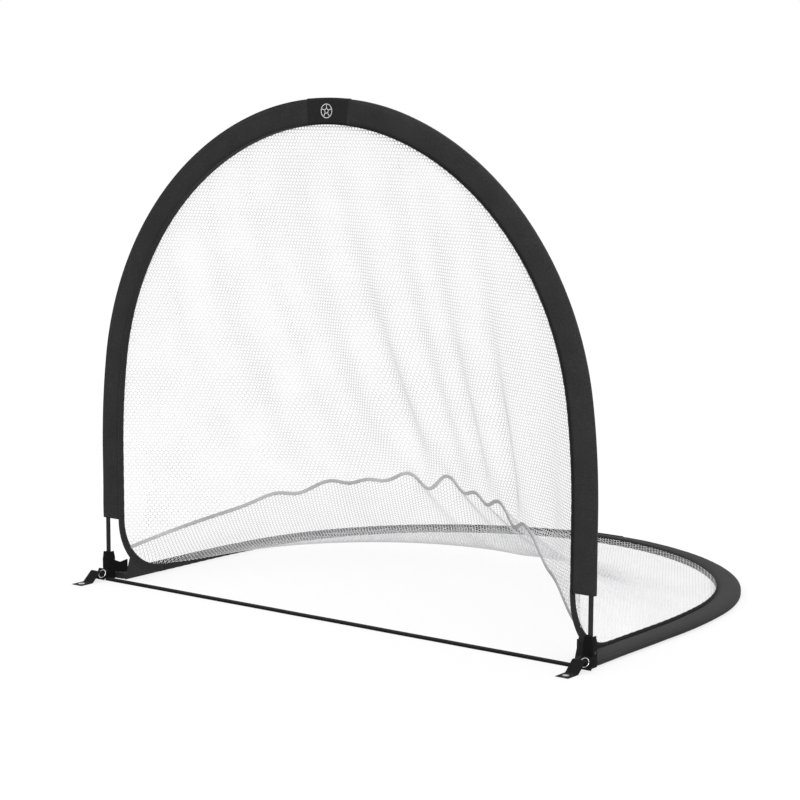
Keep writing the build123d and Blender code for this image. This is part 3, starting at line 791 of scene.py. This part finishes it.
def net_panel(name, point_of, source, direction):
    """One panel of the net: a honeycomb of strings laid on its surface, in a left and a right part."""
    flat_size, area = cut_of_half(point_of)
    points, faces = panel_surface(point_of)
    tree = BVHTree.FromPolygons(points, faces)
    box = np.array(points)
    axes = (0, 2) if direction.y > 0 else (0, 1)
    low_corner = box[:, axes].min(axis=0)
    high_corner = box[:, axes].max(axis=0)
    starts, ends = honeycomb(low_corner, high_corner, NET_PITCH)
    keys = np.round(np.concatenate([starts, ends]) / 1e-5).astype(np.int64)
    unique, inverse = np.unique(keys, axis=0, return_inverse=True)
    inverse = inverse.ravel()
    position, normal, there = cast(tree, unique * 1e-5, direction)
    first, second = inverse[: len(starts)], inverse[len(starts):]
    whole = there[first] & there[second]
    start, end, facing = position[first[whole]], position[second[whole]], normal[first[whole]]
    cut = there[first] ^ there[second]
    inside = np.where(there[first[cut]], first[cut], second[cut])
    kept = unique[inside] * 1e-5
    outside = unique[np.where(there[first[cut]], second[cut], first[cut])] * 1e-5
    reach = np.zeros((len(kept), 1))
    best = position[inside].copy()
    for halving in range(1, 6):
        trial = reach + 0.5**halving
        tried, _, hit = cast(tree, kept + (outside - kept) * trial, direction)
        reach[hit] = trial[hit]
        best[hit] = tried[hit]
    long_enough = np.linalg.norm(best - position[inside], axis=1) > STRING_WIDTH / 2
    start = np.concatenate([start, position[inside][long_enough]])
    end = np.concatenate([end, best[long_enough]])
    facing = np.concatenate([facing, normal[inside][long_enough]])
    middle = (start[:, 0] + end[:, 0]) / 2
    for side_name, side in SIDES.items():
        chosen = middle * side >= 0
        level = start[chosen, 2]
        slim = np.clip(LOW_STRING_SHARE + level / LOW_STRING_REACH, LOW_STRING_SHARE, 1.0)
        towards = -np.array(direction)
        made = string_mesh(f"{name}_{side_name}", start[chosen], end[chosen], facing[chosen], towards, slim)
        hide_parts(source)
    return start, end


def seam_tape():
    """The tape over the seam between the panels."""
    count = 420
    middles, across, outs = [], [], []
    for index in range(-count, count + 1):
        share = index / count * 0.9995
        here = seam_point(share)
        middles.append(here)
    for index, here in enumerate(middles):
        ahead = middles[min(index + 1, len(middles) - 1)] - middles[max(index - 1, 0)]
        ahead.normalize()
        up = Vector((0, -0.25, 1)).normalized()
        width = (up - ahead * up.dot(ahead)).normalized()
        across.append(width * TAPE_WIDTH)
        outs.append(ahead.cross(width).normalized())
    made = ribbon("seam_tape_web", middles, across, outs, TAPE_THICKNESS, TAPE_WEB)
    follow_fold(made)
    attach(made, "ground_frame")
    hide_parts("seam_tape")


# ---------------------------------------------------------------- corner pieces and patches


def gusset_cloth(side_name):
    """The cloth below the corner binding's turn, from the floor up to the turn, gently puckered."""
    source = f"corner_gusset_{side_name}"
    start, end = low(source), high(source)
    radius = TURN_RADIUS + BINDING_WIDTH / 2
    x = (start.x + end.x) / 2
    half = (end.x - start.x) / 2
    columns, rows = 48, 14
    shape = bmesh.new()
    grids = []
    for out in (-half, half):
        grid = []
        for column in range(columns + 1):
            for row in range(rows + 1):
                height = row / rows
                front = start.y + GUSSET_LEAN * height
                y = front + (ARCH_Y + TURN_RADIUS - front) * column / columns
                across = ARCH_Y + TURN_RADIUS - y
                top = BINDING_LEVEL + TURN_RADIUS - math.sqrt(max(radius**2 - across**2, 0)) - 0.0004
                z = start.z + (min(top, end.z) - start.z) * height
                pucker = 0.0007 * noise.noise(Vector((y * 30, z * 30, x))) * math.sin(math.pi * height)
                grid.append(shape.verts.new((x + out + pucker, y, z)))
        grids.append(grid)
    for grid in grids:
        for column in range(columns):
            for row in range(rows):
                first = column * (rows + 1) + row
                corners = (first, first + 1, first + rows + 2, first + rows + 1)
                shape.faces.new([grid[index] for index in corners])
    rim = [column * (rows + 1) for column in range(columns + 1)]
    rim += [columns * (rows + 1) + row for row in range(1, rows + 1)]
    rim += [column * (rows + 1) + rows for column in range(columns - 1, -1, -1)]
    rim += list(range(rows - 1, 0, -1))
    for index, first in enumerate(rim):
        second = rim[(index + 1) % len(rim)]
        shape.faces.new((grids[0][first], grids[0][second], grids[1][second], grids[1][first]))
    bmesh.ops.recalc_face_normals(shape, faces=shape.faces)
    data = bpy.data.meshes.new(f"corner_gusset_cloth_{side_name}")
    shape.to_mesh(data)
    shape.free()
    data.materials.append(CORNER_CLOTH)
    made = bpy.data.objects.new(f"corner_gusset_cloth_{side_name}", data)
    bpy.context.scene.collection.objects.link(made)
    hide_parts(source)
    return made


def corner_pieces():
    """Boots, gussets, patches and peg tabs at both front corners."""
    for side_name in SIDES:
        source = f"corner_boot_{side_name}"
        boot = soft_copy(f"corner_boot_web_{side_name}", source, BOOT_WEB, 0.0022, 3, 0.0005)
        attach(boot, "ground_frame")
        gusset = gusset_cloth(side_name)
        follow_fold(gusset)
        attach(gusset, "ground_frame")
        patch = soft_copy(f"corner_patch_web_{side_name}", f"corner_patch_{side_name}", STRAP_WEB, 0.0018, 1)
        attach(patch, "ground_frame")
        tab = soft_copy(f"peg_tab_web_{side_name}", f"peg_tab_{side_name}", STRAP_WEB, 0.0016, 1)
        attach(tab, f"{side_name}_peg_tab")


def goal_line():
    """The strap along the ground between the corners, pulled nearly straight."""
    start, end = low("goal_line_strap"), high("goal_line_strap")
    count = 160
    width = end.y - start.y
    middles, across, outs = [], [], []
    for index in range(count + 1):
        share = index / count
        x = start.x + (end.x - start.x) * share
        ripple = 0.0012 * noise.noise(Vector((x * 4, 0, 0)))
        middles.append(Vector((x, (start.y + end.y) / 2 + ripple, (start.z + end.z) / 2)))
        across.append(Vector((0, width, 0)))
        outs.append(Vector((0, 0, 1)))
    made = ribbon("goal_line_web", middles, across, outs, end.z - start.z, STRAP_WEB)
    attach(made, "ground_frame")
    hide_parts("goal_line_strap")


def label_patch(name, arch, body, source, half_turns):
    """A smooth patch folded over the sleeve at its crown, and hemmed at both ends."""
    inset = SLEEVE_WIDTH / 2
    section = sleeve_section()
    chosen = section[-half_turns:] + section[: half_turns + 1]
    steps = 48
    points = []
    for index in range(-steps, steps + 1):
        centre, out = arch.at(abs(index) / steps * PATCH_HALF_LENGTH, inset)
        side = 1 if index >= 0 else -1
        hem = 0.0006 if abs(index) >= steps - 3 else 0.0
        for offset, across, _ in chosen:
            grown = 1 + (0.0012 + hem) / inset
            flat = centre + out * offset * grown
            point = arch.place(flat, across * (1.12 + hem * 30))
            points.append((point.x * side, point.y, point.z))
    made = mesh_object(name, points, tube_faces(2 * steps + 1, len(chosen), False), PATCH_CLOTH)
    thick = made.modifiers.new("thick", "SOLIDIFY")
    thick.thickness = 0.0008
    thick.offset = 0.0
    apply_modifiers(made)
    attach(made, body)
    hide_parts(source)
    return made


def ball_emblem():
    """A plain printed ball on the crown patch: a ring and a five-sided panel with five seams."""
    centre, _ = FRONT.at(0.0, SLEEVE_WIDTH / 2)
    face = SLEEVE_THICKNESS / 2 + 0.0035
    radius, line = 0.026, 0.0028
    shape = bmesh.new()

    def band(first, second):
        direction = (second - first).normalized()
        beside = Vector((-direction.y, direction.x)) * line / 2
        corners = (first + beside, first - beside, second - beside, second + beside)
        shape.faces.new([shape.verts.new(FRONT.place(centre + np.array(corner), face)) for corner in corners])

    def around(distance, share):
        turn = FULL_TURN * share + math.pi / 2
        return Vector((math.cos(turn), math.sin(turn))) * distance

    circle = [around(radius, index / 48) for index in range(48)]
    for index, point in enumerate(circle):
        band(point, circle[(index + 1) % len(circle)])
    for index in range(5):
        band(around(radius * 0.38, index / 5), around(radius * 0.38, (index + 1) / 5))
        band(around(radius * 0.38, index / 5), around(radius, index / 5))
    data = bpy.data.meshes.new("ball_emblem")
    shape.to_mesh(data)
    shape.free()
    data.materials.append(EMBLEM_PRINT)
    made = bpy.data.objects.new("ball_emblem", data)
    bpy.context.scene.collection.objects.link(made)
    thick = made.modifiers.new("thick", "SOLIDIFY")
    thick.thickness = 0.0005
    apply_modifiers(made)
    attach(made, "front_frame")


# ---------------------------------------------------------------- making


def make_goal():
    sleeves()
    for side_name, side in SIDES.items():
        corner_binding(side_name, side)
    arch_binding("front_binding_web", FRONT, SLEEVE_END, 0.0, "front_frame", "front_binding")
    rise = BINDING_LEVEL - GROUND_LEVEL
    arch_binding("ground_binding_web", GROUND, TURN_RADIUS, rise, "ground_frame", "ground_binding")
    net_panel("upper_net_strings", upper_point, "upper_net", Vector((0, 1, 0)))
    net_panel("lower_net_strings", lower_point, "lower_net", Vector((0, 0, -1)))
    seam_tape()
    corner_pieces()
    goal_line()
    label_patch("front_patch_cloth", FRONT, "front_frame", "front_label_patch", 17)
    label_patch("ground_patch_cloth", GROUND, "ground_frame", "ground_label_patch", 9)
    ball_emblem()
    hard = {"pole": FIBREGLASS, "foot": MOULDED, "plug": MOULDED, "ferrules": MOULDED, "rivet": MOULDED}
    hard.update({"ring": STEEL, "eyelet": STEEL})
    for name, part in frame["nodes"].items():
        for word, finish in hard.items():
            if word in name:
                part.data.materials.clear()
                part.data.materials.append(finish)


def make_studio():
    """A pale floor, a pale sky and two large soft lamps."""
    world = bpy.data.worlds.new("studio")
    bpy.context.scene.world = world
    world.use_nodes = True
    world.node_tree.nodes["Background"].inputs[0].default_value = (1, 1, 1, 1)
    world.node_tree.nodes["Background"].inputs[1].default_value = 1.0
    bpy.context.scene.view_settings.view_transform = "Standard"
    corners = [(-30, -30, 0), (30, -30, 0), (30, 30, 0), (-30, 30, 0)]
    floor = mesh_object("floor", corners, [(0, 1, 2, 3)], None)
    pale, shader = material("pale_floor", (0.3, 0.3, 0.3), 0.9, specular=0.0)
    shader.inputs["Emission Color"].default_value = (1, 1, 1, 1)
    shader.inputs["Emission Strength"].default_value = 0.72
    floor.data.materials.clear()
    floor.data.materials.append(pale)
    lit = bpy.data.collections.new("lit_by_lamps")
    for piece in bpy.context.scene.objects:
        if piece.type == "MESH" and piece is not floor:
            lit.objects.link(piece)
    lamps = {"key": ((7.0, -7.0, 4.5), 900, 3.0), "top": ((0.5, 1.0, 8.0), 330, 4.0)}
    for name, (place, power, size) in lamps.items():
        lamp = bpy.data.lights.new(name, "AREA")
        lamp.energy = power
        lamp.size = size
        holder = bpy.data.objects.new(name, lamp)
        holder.location = place
        holder.rotation_euler = (Vector((0, 0.8, 0.8)) - Vector(place)).to_track_quat("-Z", "Y").to_euler()
        bpy.context.scene.collection.objects.link(holder)
        holder.light_linking.receiver_collection = lit


def make_camera():
    """The camera's place and direction in front of the goal, to its right."""
    yaw, pitch, roll = -0.6496, 0.1340, -0.0042
    level = Vector((-math.sin(-yaw), math.cos(yaw), 0))
    forward = level * math.cos(pitch) - Vector((0, 0, 1)) * math.sin(pitch)
    right = forward.cross(Vector((0, 0, 1))).normalized()
    up = right.cross(forward)
    turned_right = right * math.cos(roll) - up * math.sin(roll)
    turned_up = up * math.cos(roll) + right * math.sin(roll)
    lens = bpy.data.cameras.new("camera")
    lens.lens = 98.43
    lens.sensor_width = 36.0
    lens.clip_end = 100
    holder = bpy.data.objects.new("camera", lens)
    place = Matrix((turned_right, turned_up, -forward)).transposed().to_4x4()
    place.translation = Vector((5.265, -6.481 + ARCH_Y, 1.988))
    holder.matrix_world = place
    bpy.context.scene.collection.objects.link(holder)
    bpy.context.scene.camera = holder


make_camera()
make_goal()
make_studio()
bpy.context.view_layer.update()
